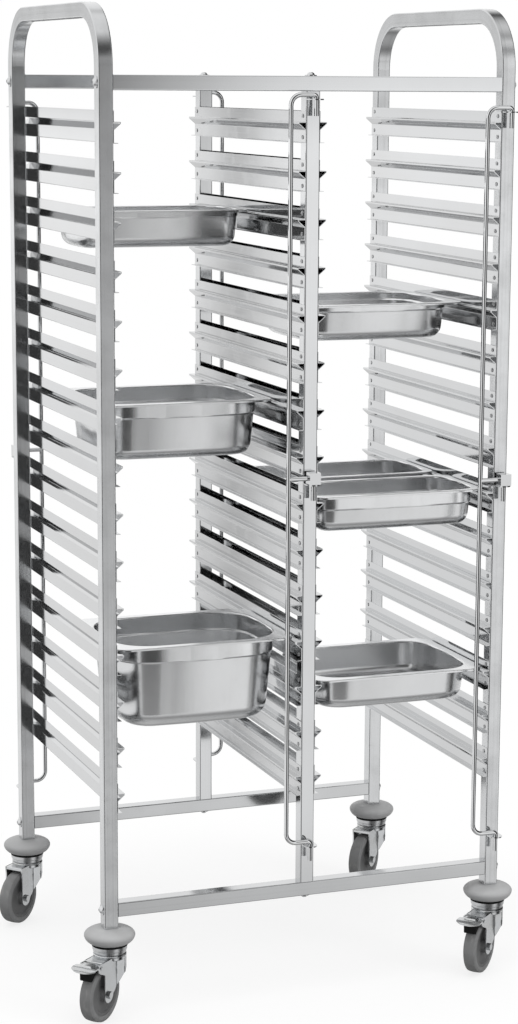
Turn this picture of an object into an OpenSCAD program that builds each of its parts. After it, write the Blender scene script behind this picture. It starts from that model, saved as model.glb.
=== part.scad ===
// Two-bay racking trolley for gastronorm pans, with locking bars, bumper discs and swivel casters.
// Origin on the floor, midway between the four legs. +X to the right, +Y to the back, +Z up.

/* [Frame] */
// Side of the square tube
tube = 25; // [22:1:28]
// Wall of the square tube
tube_wall = 1.5; // [1:0.5:2.5]
// Outside radius of the tube's long edges
tube_edge_r = 2; // [1:0.5:3]
// Clear width of a bay, between the faces of its uprights
bay_w = 332; // [331:1:340]
// Depth over the outer faces of the legs
frame_d = 570; // [560:5:700]
// Centre-line radius of the bends at the top of each end frame
bend_r = 90; // [60:5:120]
// Straight stretch of leg between the top rail and the bend
handle_gap = 13.5; // [10:0.5:60]
// Underside of the bottom rails above the ends of the legs
rail_lift = 20; // [18:1:60]

/* [Runners] */
// Number of tiers in each bay
tiers = 15; // [13:1:18]
// Height from one shelf to the next
tier_pitch = 80; // [70:1:100]
// Lowest shelf above the top of the bottom rail
first_gap = 193; // [170:1:300]
// Underside of the top rail above the highest shelf
top_gap = 50; // [40:1:120]
// Thickness of the runner sheet
runner_t = 1; // [0.8:0.1:1.5]
// Reach of the shelf out from the upright
shelf_w = 12; // [11:0.5:13]
// Height of the slanting brace under the shelf
brace_h = 13; // [10:0.5:18]
// Height of the plate above the shelf
plate_up = 18; // [14:1:22]
// Height of the plate below the shelf
plate_down = 34.5; // [31:0.5:38]
// Reach of the bottom lip out from the upright
lip_w = 8; // [5:0.5:10]
// Ends of the runners behind the faces of the legs
runner_setback = 0.5; // [0.5:0.5:5]
// Diameter of a runner rivet's head
rivet_d = 7; // [5:0.5:8]
// Height of a runner rivet's head
rivet_h = 1; // [0.6:0.1:1.5]
// Upper row of rivets above the shelf
rivet_up = 10; // [7:0.5:12]
// Lower row of rivets below the shelf
rivet_down = 25; // [22:0.5:27]

/* [Bolts] */
// Diameter of the frame bolts
bolt_d = 8; // [6:1:10]
// Diameter of a bolt's domed head
bolt_head_d = 14; // [13:0.5:17]
// Height of a bolt's domed head
bolt_head_h = 5; // [4:0.5:6]
// Diameter of a washer
washer_d = 20; // [18:0.5:21]
// Thickness of a washer
washer_t = 1.5; // [1:0.5:2]
// Length of the plugs inside the tube ends
plug_l = 30; // [20:1:40]

/* [Locking bars] */
// Diameter of the bar's rod
rod_d = 8; // [6:0.5:9]
// Distance from the bar's turning axis to its long rod
bar_arm = 45; // [38:1:60]
// Distance from the face of the frame to the turning axis
bar_gap = 15; // [13:0.5:20]
// Centre-line radius of the bends beside the long rod
bar_bend_r = 18; // [10:1:22]
// Centre-line radius of the bends above the tails
foot_r = 6; // [5:0.5:6]
// Length of the tails that stand in the lugs
tail_l = 28; // [20:1:40]
// Width of the lugs
lug_w = 24; // [20:1:25]
// Thickness of the lugs
lug_t = 2; // [1.5:0.5:4]
// Top lug below the top rail, on the centre uprights
lug_drop = 12; // [5:1:40]
// Bottom lug above the bottom rail, on the centre uprights
lug_lift = 72; // [60:1:100]
// How far the bars on the end frames sit below those on the centre uprights
end_bar_drop = 20; // [0:1:25]
// Middle lug below the middle of the bar
middle_drop = 3; // [0:1:20]
// Side of the block that rests on the middle lug
block = 20; // [16:1:22]
// Clearance around the rod in its lugs
lug_fit = 0.1; // [0.05:0.01:0.1]

/* [Casters] */
// Diameter of the wheels
wheel_d = 100; // [80:1:125]
// Width of the tyre
tyre_w = 24; // [22:1:30]
// Radial height of the tyre
tyre_h = 12; // [8:1:14]
// Wheel axle behind the swivel axis
trail = 33.5; // [30:0.5:36]
// Direction in which the wheels trail, from +X
caster_turn = 221.5; // [200:0.5:250]
// Space between the tyre and the fork's crown
wheel_gap = 5; // [5:0.5:8]
// Thickness of the fork's sheet
fork_t = 2.5; // [2:0.5:3]
// Clearance between the tyre's side and the fork
fork_gap = 4.5; // [2:0.5:6]
// Diameter of the axle bolt
axle_d = 8; // [6:1:10]
// Thickness of the fork's crown
crown_t = 6.5; // [5:0.5:8]
// Height of the lower ball race
lower_race_h = 2; // [1.5:0.1:4]
// Height of the upper ball race
upper_race_h = 13.8; // [10:0.1:20]
// Diameter of the upper ball race
race_d = 60; // [54:1:60]
// Height of the seal under the bumper
seal_h = 4.5; // [2:0.5:6]
// Diameter of the seal
seal_d = 62; // [61:1:66]
// Diameter of the swivel stem
stem_d = 12; // [10:1:14]
// Length of the stem inside the leg
stem_l = 24; // [18:1:24]
// Diameter of the bumper disc
bumper_d = 88; // [80:1:110]
// Height of the bumper disc
bumper_h = 26; // [22:1:32]

/* [Brakes] */
// Reach of the pedal from the swivel axis
pedal_reach = 95; // [90:1:110]
// Width of the pedal's tread
pedal_w = 46; // [40:1:50]
// Thickness of the pedal's sheet
pedal_t = 2.5; // [2:0.5:3]
// Space between the released shoe and the tyre
shoe_gap = 3; // [3:0.5:5]

/* [Pans] */
// Length of every pan's rim across the bay
pan_w = 325; // [323:0.5:326]
// Depth of a half-size pan's rim, front to back
half_d = 265; // [240:1:270]
// Depth of a third-size pan's rim, front to back
third_d = 176; // [160:1:180]
// Width of the flat rim on the half-size pans
half_rim_w = 16; // [12:0.5:17]
// Width of the flat rim on the third-size pans
third_rim_w = 11.5; // [10:0.5:14]
// Height of the turned-down edge of the rim
rim_h = 4; // [3:0.5:5]
// Outside radius of the rim's corners
rim_corner_r = 28; // [20:1:35]
// Outside radius of the body's corners on the half-size pans
half_corner_r = 48; // [42:1:55]
// Outside radius of the body's corners on the third-size pans
third_corner_r = 34; // [32:1:40]
// Thickness of the pan's sheet
pan_t = 1; // [0.8:0.1:1.5]
// Stacking step below the rim, on the shallow half-size pan and on the pan at the top of the left bay
shallow_step = 12; // [8:1:20]
// Stacking step below the rim, on the pair of third-size pans
pair_step = 24; // [16:1:26]
// Stacking step below the rim, on the medium pan
medium_step = 25; // [16:1:32]
// Stacking step below the rim, on the deep pan
deep_step = 30; // [20:1:40]
// Inward reach of the stacking step
step_w = 2.5; // [1.5:0.5:3]
// Slope of the walls below the step, in degrees
draft = 4.5; // [2:0.5:5]
// Outside radius between wall and floor
floor_r = 20; // [12:1:22]
// Height of the shallow pans
shallow_h = 65; // [60:1:70]
// Height of the pan without a stacking step
plain_h = 60; // [50:1:65]
// Height of the medium pan
medium_h = 100; // [90:1:110]
// Height of the deep pan
deep_h = 150; // [140:1:160]
// Tier and front setback of the pan at the top of the left bay
top_left_tier = 13; // [11:1:13]
top_left_set = 254; // [100:1:330]
// Tier and front setback of the pan in the middle of the left bay
mid_left_tier = 9; // [8:1:10]
mid_left_set = 125; // [20:1:250]
// Tier and front setback of the pan at the bottom of the left bay
low_left_tier = 4; // [3:1:6]
low_left_set = 17; // [0:1:250]
// Tier and front setback of the pan at the top of the right bay
top_right_tier = 11; // [10:1:13]
top_right_set = 119; // [20:1:250]
// Tier of the two third-size pans in the middle of the right bay
mid_right_tier = 7; // [6:1:8]
// Front setbacks of the two third-size pans
mid_front_set = 23; // [0:1:30]
mid_back_set = 232; // [225:1:300]
// Tier and front setback of the pan at the bottom of the right bay
low_right_tier = 3; // [2:1:4]
low_right_set = 8; // [0:1:250]

/* [Hidden] */

// Small clearances between pieces of one body, and between a resting piece and its seat
slip = 0.1;
rest_gap = 0.2;
hole_slack = 0.25;

// Heights of the caster, from the floor up
wheel_r = wheel_d / 2;
crown_z = wheel_d + wheel_gap;
crown_top = crown_z + crown_t;
race_z = crown_top + lower_race_h + rest_gap;
seal_z = race_z + upper_race_h;
bumper_z = seal_z + seal_h;
leg_z = bumper_z + bumper_h;

// Heights of the frame
bottom_rail_z = leg_z + rail_lift;
bottom_rail_top = bottom_rail_z + tube;
first_tier_z = bottom_rail_top + first_gap;
top_rail_z = first_tier_z + (tiers - 1) * tier_pitch + top_gap;
top_rail_top = top_rail_z + tube;
spring_z = top_rail_top + handle_gap;
handle_z = spring_z + bend_r;

// Plan of the frame, at the centres of the tubes
leg_x = bay_w + tube;
leg_y = (frame_d - tube) / 2;
front_y = frame_d / 2;
bay_x = (bay_w + tube) / 2;
rail_l = 2 * bay_w + tube;
inner = tube - 2 * tube_wall;

// Locking bars
axis_y = front_y + bar_gap;
run_lift = foot_r + 0.5;
centre_low_z = bottom_rail_top + lug_lift;
end_low_z = centre_low_z - end_bar_drop;
bar_span = top_rail_z - lug_drop - centre_low_z;
middle_z = bar_span / 2 - middle_drop;

// Forks and wheels
fork_in = tyre_w / 2 + fork_gap;
fork_out = fork_in + fork_t;
tab_r = axle_d / 2 + 5;
tab_low = 5;
crown_r = race_d / 2 - 1;
ear_x = trail + 33.5;
hinge_x = ear_x - 9;
hinge_z = crown_z;
curl_r = 4;
pin_d = 4;
head_t = 4.5;

function tier_z(t) = first_tier_z + (t - 1) * tier_pitch;
function arc(c, r, from, to, n) = [for (i = [0 : n]) let (a = from + (to - from) * i / n) c + r * [cos(a), sin(a)]];

module tube_section() {
    difference() {
        union() {
            square([tube - 2 * tube_edge_r, tube], center = true);
            square([tube, tube - 2 * tube_edge_r], center = true);
            for (x = [-1, 1], y = [-1, 1])
                translate([x, y] * (tube / 2 - tube_edge_r)) circle(r = tube_edge_r, $fn = 32);
        }
        square(inner, center = true);
    }
}

module tube_along_x(length) {
    rotate([0, 90, 0]) linear_extrude(height = length, center = true) tube_section();
}

module bolt_hole_x() {
    rotate([0, 90, 0]) cylinder(d = bolt_d + 2 * hole_slack, h = 2 * tube, center = true, $fn = 32);
}

// One bent tube: two legs, two bends and the handle between them
module end_frame(side) {
    color("gainsboro") translate([side * leg_x, 0, 0]) difference() {
        union() {
            for (s = [0, 1]) mirror([0, s, 0]) {
                translate([0, leg_y, leg_z]) linear_extrude(height = spring_z - leg_z) tube_section();
                translate([0, leg_y - bend_r, spring_z]) rotate([90, 0, 90])
                    rotate_extrude(angle = 90, $fn = 96) translate([bend_r, 0]) tube_section();
            }
            translate([0, 0, handle_z]) rotate([90, 0, 0])
                linear_extrude(height = 2 * (leg_y - bend_r), center = true) tube_section();
        }
        for (s = [-1, 1], z = [bottom_rail_z, top_rail_z])
            translate([0, s * leg_y, z + tube / 2]) bolt_hole_x();
    }
}

// A rail between the end frames, drilled for the centre upright's bolt
module rail(side, z) {
    color("gainsboro") translate([0, side * leg_y, z + tube / 2]) difference() {
        tube_along_x(rail_l);
        cylinder(d = bolt_d + 2 * hole_slack, h = 2 * tube, center = true, $fn = 32);
    }
}

module centre_upright(side) {
    color("gainsboro") translate([0, side * leg_y, bottom_rail_top])
        linear_extrude(height = top_rail_z - bottom_rail_top) tube_section();
}

// Section of a runner: plate, shelf, slanting brace, plate and lip, against an upright at x = 0
module runner_section() {
    slope = brace_h / (shelf_w - runner_t);
    rise = runner_t * sqrt(1 + slope * slope);
    polygon([
        [0, plate_up], [runner_t, plate_up], [runner_t, 0], [shelf_w, 0],
        [runner_t, -brace_h], [runner_t, runner_t - plate_down], [lip_w, runner_t - plate_down],
        [lip_w, -plate_down], [0, -plate_down], [0, rise - slope * shelf_w],
        [shelf_w - (runner_t + rise) / slope, -runner_t], [0, -runner_t]
    ]);
}

// All the runners on one face; reach is +1 when they stand out towards +X
module runners(face_x, reach) {
    color("silver") for (t = [1 : tiers])
        translate([face_x, 0, tier_z(t)]) scale([reach, 1, 1]) rotate([90, 0, 0])
            linear_extrude(height = frame_d - 2 * runner_setback, center = true) runner_section();
}

module runner_rivets() {
    color("lightgray") for (face = [[-leg_x, 1], [0, -1], [0, 1], [leg_x, -1]], t = [1 : tiers],
            s = [-1, 1], z = [rivet_up, -rivet_down])
        translate([face[0] + face[1] * (tube / 2 + runner_t), s * leg_y, tier_z(t) + z])
            rotate([0, face[1] * 90, 0]) cylinder(d = rivet_d, h = rivet_h, $fn = 24);
}

// Domed head with a hexagon socket, seated at z = 0, its shank pointing down
module dome_bolt(shank) {
    dome_r = (bolt_head_d * bolt_head_d / 4 + bolt_head_h * bolt_head_h) / (2 * bolt_head_h);
    difference() {
        rotate_extrude($fn = 48) intersection() {
            translate([0, bolt_head_h - dome_r]) circle(r = dome_r, $fn = 96);
            square([bolt_head_d / 2, bolt_head_h]);
        }
        translate([0, 0, bolt_head_h / 2]) cylinder(d = bolt_d * 0.6, h = bolt_head_h, $fn = 6);
    }
    translate([0, 0, -shank]) cylinder(d = bolt_d, h = shank, $fn = 32);
}

// Places a bolt at both ends of every rail, then through the rails into the centre uprights
module at_bolts(lift) {
    for (x = [-1, 1], y = [-1, 1], z = [bottom_rail_z, top_rail_z])
        translate([x * (leg_x + tube / 2 + lift), y * leg_y, z + tube / 2]) rotate([0, x * 90, 0]) children();
    for (y = [-1, 1]) {
        translate([0, y * leg_y, top_rail_top + lift]) children();
        translate([0, y * leg_y, bottom_rail_z - lift]) rotate([180, 0, 0]) children();
    }
}

module frame_bolts() {
    color("lightgray") at_bolts(washer_t) dome_bolt(washer_t + tube + plug_l - 5);
}

module frame_washers() {
    color("silver") at_bolts(0) difference() {
        cylinder(d = washer_d, h = washer_t, $fn = 48);
        translate([0, 0, -1]) cylinder(d = bolt_d + 2 * hole_slack, h = washer_t + 2, $fn = 32);
    }
}

// A plug just inside a tube's end, with a bore for its bolt or stem
module plug(bore, length) {
    difference() {
        translate([0, 0, length / 2]) cube([inner - 2 * slip, inner - 2 * slip, length], center = true);
        translate([0, 0, -1]) cylinder(d = bore + slip, h = length + 2, $fn = 32);
    }
}

module tube_plugs() {
    color("dimgray") {
        for (x = [-1, 1], y = [-1, 1], z = [bottom_rail_z, top_rail_z])
            translate([x * rail_l / 2, y * leg_y, z + tube / 2]) rotate([0, -x * 90, 0]) plug(bolt_d, plug_l);
        for (y = [-1, 1]) {
            translate([0, y * leg_y, bottom_rail_top]) plug(bolt_d, plug_l);
            translate([0, y * leg_y, top_rail_z]) rotate([180, 0, 0]) plug(bolt_d, plug_l);
        }
    }
}

// Bar axes: the two in front, then the two behind, which point the other way
module at_bar(x, side) {
    translate([x, side * axis_y, 0]) rotate([0, 0, side > 0 ? 180 : 0]) children();
}

// A lug on the frame's face; its top is at z, and its hole is on the bar's axis
module lug(z) {
    translate([0, 0, z - lug_t]) difference() {
        union() {
            cylinder(d = lug_w, h = lug_t, $fn = 64);
            translate([-lug_w / 2, 0, 0]) cube([lug_w, bar_gap, lug_t]);
        }
        translate([0, 0, -1]) cylinder(d = rod_d + 2 * lug_fit, h = lug_t + 2, $fn = 48);
    }
}

module lugs(above) {
    color("gainsboro") for (side = [-1, 1]) {
        at_bar(0, side) lug(centre_low_z + above);
        at_bar(-side * leg_x, side) lug(end_low_z + above);
    }
}

module rod_bend(radius, from) {
    rotate([90, 0, 0]) rotate([0, 0, from]) rotate_extrude(angle = 90, $fn = 64)
        translate([radius, 0]) circle(d = rod_d, $fn = 32);
}

module rod_up(x, low, high) {
    translate([x, 0, low]) cylinder(d = rod_d, h = high - low, $fn = 32);
}

module rod_across(from, to, z) {
    translate([from, 0, z]) rotate([0, 90, 0]) cylinder(d = rod_d, h = to - from, $fn = 32);
}

// The bent rod. Its axis is x = 0 and its long rod stands at x = -bar_arm
module bar(x, side, low) {
    low_run = low + run_lift;
    high_run = low + bar_span + run_lift;
    color("whitesmoke") at_bar(x, side) {
        rod_up(0, low - tail_l, low_run - foot_r);
        translate([-foot_r, 0, low_run - foot_r]) rod_bend(foot_r, 0);
        rod_across(bar_bend_r - bar_arm, -foot_r, low_run);
        translate([bar_bend_r - bar_arm, 0, low_run + bar_bend_r]) rod_bend(bar_bend_r, 180);
        rod_up(-bar_arm, low_run + bar_bend_r, high_run - bar_bend_r);
        translate([bar_bend_r - bar_arm, 0, high_run - bar_bend_r]) rod_bend(bar_bend_r, 90);
        rod_across(bar_bend_r - bar_arm, -foot_r, high_run);
        translate([-foot_r, 0, high_run - foot_r]) rod_bend(foot_r, 0);
        rod_up(0, low + bar_span - tail_l, high_run - foot_r);
        rod_across(-bar_arm, -block / 2, low + middle_z + rest_gap + block / 2);
    }
}

// The block that rests on the middle lug, with the spindle that stands in it
module bar_block(x, side, low) {
    color("silver") at_bar(x, side) {
        translate([0, 0, low + middle_z + rest_gap + block / 2]) cube(block, center = true);
        rod_up(0, low + middle_z - tail_l, low + middle_z + rest_gap);
    }
}

module at_legs() {
    for (x = [-1, 1], y = [-1, 1]) translate([x * leg_x, y * leg_y, 0]) children();
}

module bumper_discs() {
    edge_r = 5;
    edge_c = bumper_d / 2 - edge_r;
    boss_r = tube * sqrt(2) / 2;
    mid = bumper_z + bumper_h * 0.45;
    crown = leg_z - mid - edge_r;
    color("darkgray") at_legs() rotate_extrude($fn = 96) polygon(concat(
        [[stem_d / 2 + slip, leg_z], [boss_r, leg_z]],
        [for (i = [1 : 6]) let (u = i / 7) [boss_r + u * (edge_c - boss_r), mid + edge_r + crown * cos(90 * u)]],
        arc([edge_c, mid], edge_r, 80, -60, 8),
        [[seal_d / 2 + 1, bumper_z], [stem_d / 2 + slip, bumper_z]]
    ));
}

module swivel_seals() {
    color("black") at_legs() translate([0, 0, seal_z]) difference() {
        cylinder(d = seal_d, h = seal_h, $fn = 96);
        translate([0, 0, -1]) cylinder(d = stem_d + 2 * slip, h = seal_h + 2, $fn = 48);
    }
}

module leg_plugs() {
    color("dimgray") at_legs() translate([0, 0, leg_z]) plug(stem_d, stem_l);
}

// Upper ball race, the stem above it and the king pin below it
module caster_stems() {
    groove = 1.5;
    color("lightsteelblue") at_legs() {
        translate([0, 0, race_z]) rotate_extrude($fn = 96) polygon([
            [0, 0], [race_d / 2 - 3, 0], [race_d / 2 - groove, upper_race_h * 0.2],
            [race_d / 2 - groove, upper_race_h * 0.45], [race_d / 2, upper_race_h * 0.55],
            [race_d / 2, upper_race_h], [0, upper_race_h]
        ]);
        translate([0, 0, seal_z]) cylinder(d = stem_d, h = seal_h + bumper_h + stem_l, $fn = 48);
        translate([0, 0, crown_z - rest_gap]) cylinder(d = stem_d, h = race_z - crown_z + rest_gap, $fn = 48);
        translate([0, 0, crown_z - rest_gap - 2]) cylinder(d = stem_d + 6, h = 2, $fn = 48);
    }
}

// Caster frame: origin under the swivel axis, +X trails and +Y is the side the photograph shows
module at_caster(x, y) {
    translate([x * leg_x, y * leg_y, 0]) rotate([0, 0, caster_turn]) children();
}

module at_wheel(x, y) {
    at_caster(x, y) translate([trail, 0, wheel_r]) rotate([-90, 0, 0]) children();
}

module fork_side(braked) {
    difference() {
        linear_extrude(height = fork_t) {
            polygon([
                [-crown_r, crown_top], [-crown_r, crown_z - 13], [-crown_r * 0.8, crown_z - 28],
                [-crown_r * 0.3, crown_z - 44], [trail - tab_r, wheel_r - tab_low], [trail + tab_r, wheel_r - tab_low],
                [trail + tab_r - 1, crown_z - 17], [ear_x - 9, crown_z - 11], [ear_x - 3, crown_z - 6],
                [ear_x, crown_z + 1], [ear_x - 4, crown_top]
            ]);
            translate([trail, wheel_r - tab_low]) circle(r = tab_r, $fn = 64);
        }
        translate([trail, wheel_r, -1]) cylinder(d = axle_d + slip, h = fork_t + 2, $fn = 32);
        if (braked) translate([hinge_x, hinge_z, -1]) cylinder(d = pin_d + 2 * slip, h = fork_t + 2, $fn = 32);
    }
}

module fork(x, y, braked) {
    reach = braked ? hinge_x - curl_r - 2 : ear_x - 10;
    color("lightsteelblue") at_caster(x, y) difference() {
        union() {
            for (s = [-1, 1]) translate([0, s > 0 ? fork_out : -fork_in, 0]) rotate([90, 0, 0]) fork_side(braked);
            translate([0, 0, crown_z]) cylinder(r = crown_r, h = crown_t, $fn = 96);
            translate([0, -fork_in, crown_z]) cube([reach, 2 * fork_in, crown_t]);
            translate([0, 0, crown_top]) cylinder(r = crown_r - 1, h = lower_race_h, $fn = 96);
        }
        translate([0, 0, crown_z - 1]) cylinder(d = stem_d + 2 * slip, h = crown_t + lower_race_h + 2, $fn = 48);
    }
}

// Axle bolt with its hexagon head on the near side, and its nut on the far side
module axle(x, y) {
    color("lightsteelblue") at_wheel(x, y) {
        translate([0, 0, fork_out]) cylinder(d = axle_d + 5, h = head_t, $fn = 6);
        translate([0, 0, -fork_out - head_t - 1]) cylinder(d = axle_d, h = 2 * fork_out + head_t + 1, $fn = 32);
        translate([0, 0, -fork_out - head_t]) difference() {
            cylinder(d = axle_d + 5, h = head_t, $fn = 6);
            translate([0, 0, -1]) cylinder(d = axle_d + slip, h = head_t + 2, $fn = 32);
        }
    }
}

module hub(x, y) {
    rim_r = wheel_r - tyre_h;
    boss_r = axle_d / 2 + 8;
    half = fork_in - 0.3;
    web = tyre_w * 0.27;
    lip = tyre_w / 2 - 1.5;
    color("slategray") at_wheel(x, y) rotate_extrude($fn = 96) polygon([
        [axle_d / 2 + slip, -half], [boss_r, -half], [boss_r, -web], [rim_r - 7, -web], [rim_r - 5, -lip],
        [rim_r, -lip], [rim_r, lip], [rim_r - 5, lip], [rim_r - 7, web], [boss_r, web],
        [boss_r, half], [axle_d / 2 + slip, half]
    ]);
}

module tyre(x, y) {
    shoulder = 5;
    half = tyre_w / 2;
    inner_r = wheel_r - tyre_h + slip / 2;
    color("gray") at_wheel(x, y) rotate_extrude($fn = 128) polygon(concat(
        [[inner_r, -half]],
        arc([wheel_r - shoulder, shoulder - half], shoulder, -90, 0, 6),
        arc([wheel_r - shoulder, half - shoulder], shoulder, 0, 90, 6),
        [[inner_r, half]]
    ));
}

// Pedal in the caster frame: curl on its pin, a narrow neck and a wide tread with an embossed pad
module pedal(x, y) {
    neck = fork_in - 0.5;
    top = hinge_z + curl_r + 1.5;
    pad = 1;
    nose_r = pedal_w * 0.8;
    color("lightsteelblue") at_caster(x, y) {
        difference() {
            translate([hinge_x, 0, hinge_z]) rotate([90, 0, 0]) cylinder(r = curl_r, h = 2 * neck, center = true, $fn = 48);
            translate([hinge_x, 0, hinge_z]) rotate([90, 0, 0]) cylinder(d = pin_d, h = 2 * tube, center = true, $fn = 32);
        }
        translate([hinge_x, 0, hinge_z]) rotate([90, 0, 0])
            cylinder(d = pin_d, h = 2 * fork_out, center = true, $fn = 32);
        translate([hinge_x - curl_r, -neck, top - pedal_t]) cube([ear_x + 4 - hinge_x + curl_r, 2 * neck, pedal_t]);
        translate([0, 0, top - pedal_t]) intersection() {
            translate([ear_x + 2, -pedal_w / 2, 0]) cube([pedal_reach - ear_x - 2, pedal_w, pedal_t]);
            translate([pedal_reach - nose_r, 0, -1]) cylinder(r = nose_r, h = pedal_t + 2, $fn = 96);
        }
        translate([hinge_x - 2, -pedal_w / 4, top - pad]) cube([17, pedal_w / 2, 2 * pad]);
    }
}

// Brake shoe under the pedal, hollowed to the tyre's curve
module shoe(x, y) {
    top = hinge_z + curl_r + 1.5 - pedal_t;
    low = wheel_d - 16;
    color("black") at_caster(x, y) difference() {
        translate([hinge_x + curl_r + 1, -tyre_w / 2, low]) cube([17, tyre_w, top - low]);
        translate([trail, 0, wheel_r]) rotate([90, 0, 0])
            cylinder(r = wheel_r + shoe_gap, h = 2 * tyre_w, center = true, $fn = 128);
    }
}

// Sweeps a section, drawn as [distance out from the corner's centre, height], round a rectangle of corner centres
module ring_sweep(half_x, half_y) {
    for (a = [0, 180]) rotate([0, 0, a]) {
        translate([half_x, half_y, 0]) rotate_extrude(angle = 90, $fn = 64) children();
        translate([-half_x, half_y, 0]) rotate([0, 0, 90]) rotate_extrude(angle = 90, $fn = 64) children();
        translate([half_x, 0, 0]) rotate([90, 0, 0]) linear_extrude(height = 2 * half_y, center = true) children();
        translate([0, half_y, 0]) rotate([90, 0, 90]) linear_extrude(height = 2 * half_x, center = true) children();
    }
}

module rounded_plate(w, d, r, h) {
    for (x = [-1, 1], y = [-1, 1]) translate([x * (w / 2 - r), y * (d / 2 - r), 0]) cylinder(r = r, h = h, $fn = 64);
    translate([r - w / 2, -d / 2, 0]) cube([w - 2 * r, d, h]);
    translate([-w / 2, r - d / 2, 0]) cube([w, d - 2 * r, h]);
}

// A pan with its front rim at y = -front_y + set; it rests on the shelves by its rim's edge
module pan(bay, tier, set, rim_d, h, rim_w, r, step_z) {
    low = step_z + step_w;
    has_step = step_z > 0;
    bend_z = has_step ? low : rim_h;
    bend_out = has_step ? r - step_w : r;
    edge = bend_out - (h - bend_z - floor_r) * tan(draft) - floor_r;
    half_x = pan_w / 2 - rim_w - r;
    half_y = rim_d / 2 - rim_w - r;
    outer_step = has_step ? [[r, -step_z], [r - step_w, -low]] : [[r, -rim_h]];
    inner_step = has_step ? [[r - step_w - pan_t, -low], [r - pan_t, -step_z]] : [[r - pan_t, -rim_h]];
    color("lightgray") translate([bay * bay_x, set + rim_d / 2 - front_y, tier_z(tier) + rest_gap + rim_h]) {
        translate([0, 0, -pan_t]) difference() {
            rounded_plate(pan_w, rim_d, rim_corner_r, pan_t);
            translate([0, 0, -1]) rounded_plate(2 * (half_x + r) - 2, 2 * (half_y + r) - 2, r - 1, pan_t + 2);
        }
        translate([0, 0, -rim_h]) difference() {
            rounded_plate(pan_w, rim_d, rim_corner_r, rim_h);
            translate([0, 0, -1]) rounded_plate(pan_w - 2 * pan_t, rim_d - 2 * pan_t, rim_corner_r - pan_t, rim_h + 2);
        }
        ring_sweep(half_x, half_y) polygon(concat(
            [[r, 0]], outer_step,
            arc([edge, floor_r - h], floor_r, 0, -90, 5),
            [[edge - 3, -h], [edge - 3, pan_t - h]],
            arc([edge, floor_r - h], floor_r - pan_t, -90, 0, 5),
            inner_step, [[r - pan_t, 0]]
        ));
        translate([0, 0, -h]) rounded_plate(2 * (half_x + edge), 2 * (half_y + edge), edge, pan_t);
    }
}

end_frame(-1);  // left_end_frame
end_frame(1);  // right_end_frame
rail(-1, top_rail_z);  // front_top_rail
rail(1, top_rail_z);  // rear_top_rail
rail(-1, bottom_rail_z);  // front_bottom_rail
rail(1, bottom_rail_z);  // rear_bottom_rail
centre_upright(-1);  // front_centre_upright
centre_upright(1);  // rear_centre_upright
runners(tube / 2 - leg_x, 1);  // left_end_runners
runners(-tube / 2, -1);  // left_centre_runners
runners(tube / 2, 1);  // right_centre_runners
runners(leg_x - tube / 2, -1);  // right_end_runners
runner_rivets();
frame_bolts();
frame_washers();
tube_plugs();
lugs(bar_span);  // top_bar_lugs
lugs(middle_z);  // middle_bar_lugs
lugs(0);  // bottom_bar_lugs
bumper_discs();
swivel_seals();
leg_plugs();
caster_stems();
bar(0, -1, centre_low_z);  // front_centre_bar
bar_block(0, -1, centre_low_z);  // front_centre_block
bar(leg_x, -1, end_low_z);  // front_end_bar
bar_block(leg_x, -1, end_low_z);  // front_end_block
bar(0, 1, centre_low_z);  // rear_centre_bar
bar_block(0, 1, centre_low_z);  // rear_centre_block
bar(-leg_x, 1, end_low_z);  // rear_end_bar
bar_block(-leg_x, 1, end_low_z);  // rear_end_block
fork(-1, -1, true);  // front_left_fork
axle(-1, -1);  // front_left_axle
hub(-1, -1);  // front_left_hub
tyre(-1, -1);  // front_left_tyre
fork(1, -1, true);  // front_right_fork
axle(1, -1);  // front_right_axle
hub(1, -1);  // front_right_hub
tyre(1, -1);  // front_right_tyre
fork(-1, 1, false);  // rear_left_fork
axle(-1, 1);  // rear_left_axle
hub(-1, 1);  // rear_left_hub
tyre(-1, 1);  // rear_left_tyre
fork(1, 1, false);  // rear_right_fork
axle(1, 1);  // rear_right_axle
hub(1, 1);  // rear_right_hub
tyre(1, 1);  // rear_right_tyre
pedal(-1, -1);  // front_left_pedal
shoe(-1, -1);  // front_left_shoe
pedal(1, -1);  // front_right_pedal
shoe(1, -1);  // front_right_shoe
pan(-1, top_left_tier, top_left_set, third_d, shallow_h, third_rim_w, third_corner_r, shallow_step);  // top_left_pan
pan(-1, mid_left_tier, mid_left_set, half_d, medium_h, half_rim_w, half_corner_r, medium_step);  // middle_left_pan
pan(-1, low_left_tier, low_left_set, half_d, deep_h, half_rim_w, half_corner_r, deep_step);  // low_left_pan
pan(1, top_right_tier, top_right_set, half_d, shallow_h, half_rim_w, half_corner_r, shallow_step);  // top_right_pan
pan(1, mid_right_tier, mid_front_set, third_d, shallow_h, third_rim_w, third_corner_r, pair_step);  // middle_front_pan
pan(1, mid_right_tier, mid_back_set, third_d, shallow_h, third_rim_w, third_corner_r, pair_step);  // middle_back_pan
pan(1, low_right_tier, low_right_set, half_d, plain_h, half_rim_w, half_corner_r, 0);  // low_right_pan
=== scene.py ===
import math

import bpy
import bmesh
import numpy as np
from mathutils import Matrix, Vector


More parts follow.
